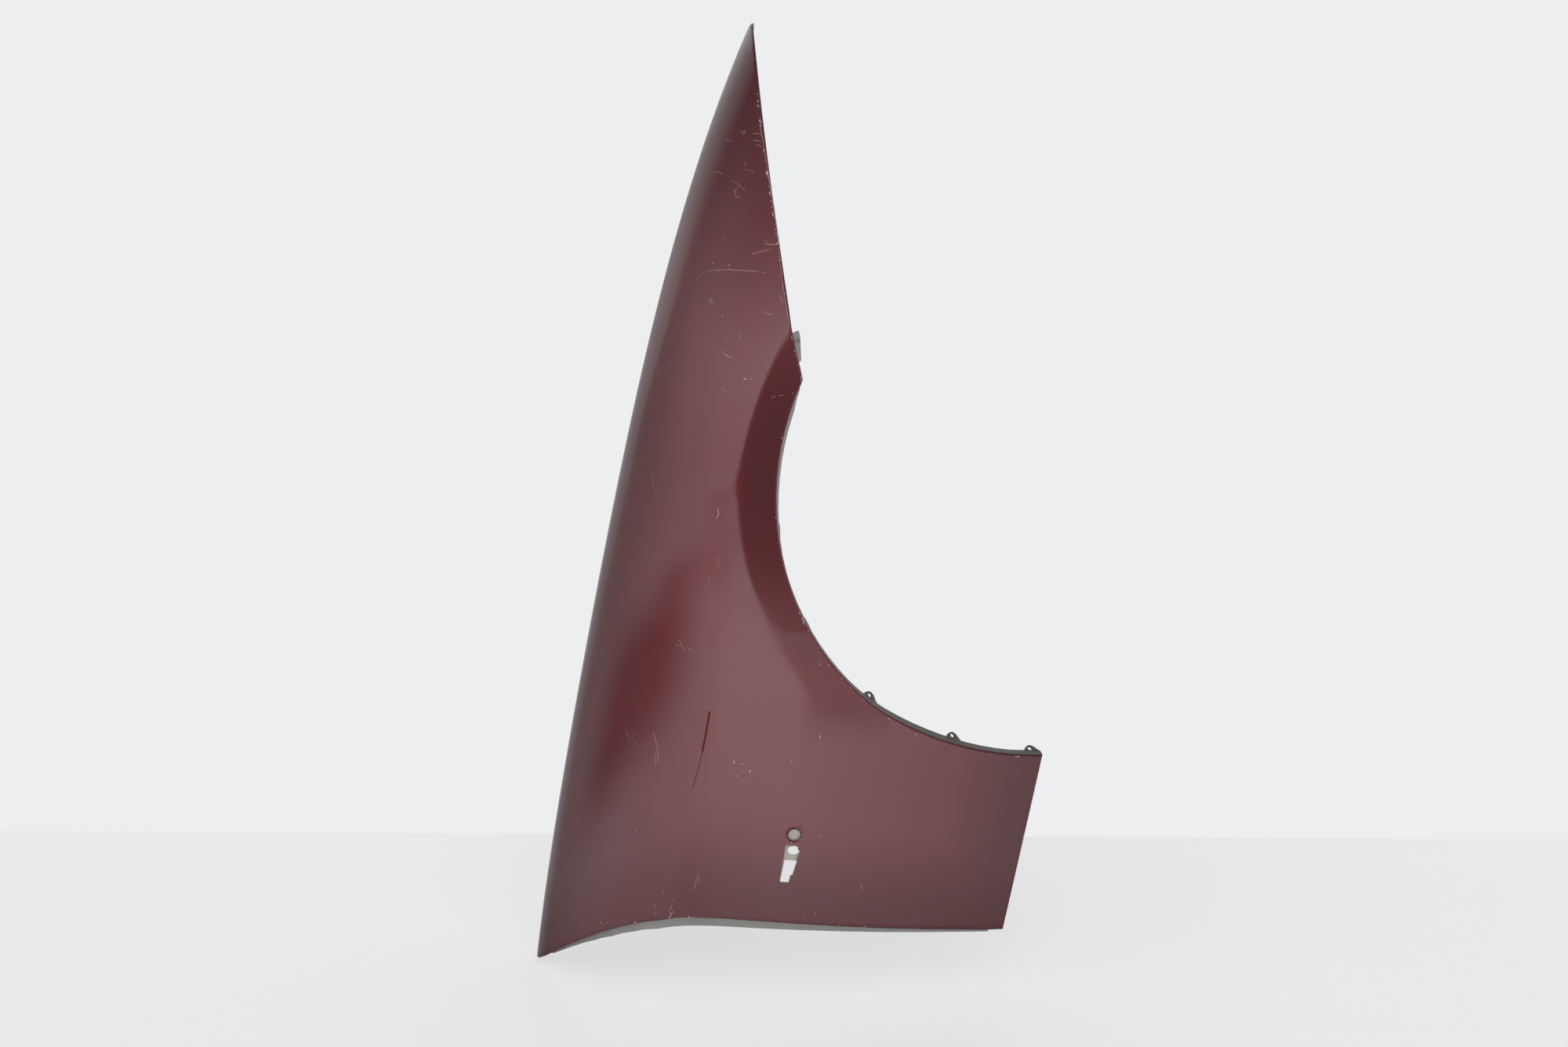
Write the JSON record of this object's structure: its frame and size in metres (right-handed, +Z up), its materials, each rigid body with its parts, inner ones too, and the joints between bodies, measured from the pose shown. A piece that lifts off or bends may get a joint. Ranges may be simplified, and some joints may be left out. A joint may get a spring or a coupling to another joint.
{
  "type": "car front fender",
  "caption": "Right front fender panel of a two-door car, moulded and painted dark red, worn, with its flanges and an open side lamp slot.",
  "frame": {"origin": "under face of the middle screw pad of the bonnet flange, 13 mm ahead of the middle of its hole", "axes": "+X forward on the car, +Y towards the middle of the car, +Z up; the painted outer side faces -Y"},
  "size_m": [1.3397, 0.2453, 0.6613],
  "materials": {
    "paint": "gloss dark red paint over a plastic moulding, chipped and scratched",
    "bracket": "matte grey"
  },
  "bodies": {
    "root": {"fender_skin": "paint", "side_lamp_bracket": "bracket"}
  },
  "joints": []
}
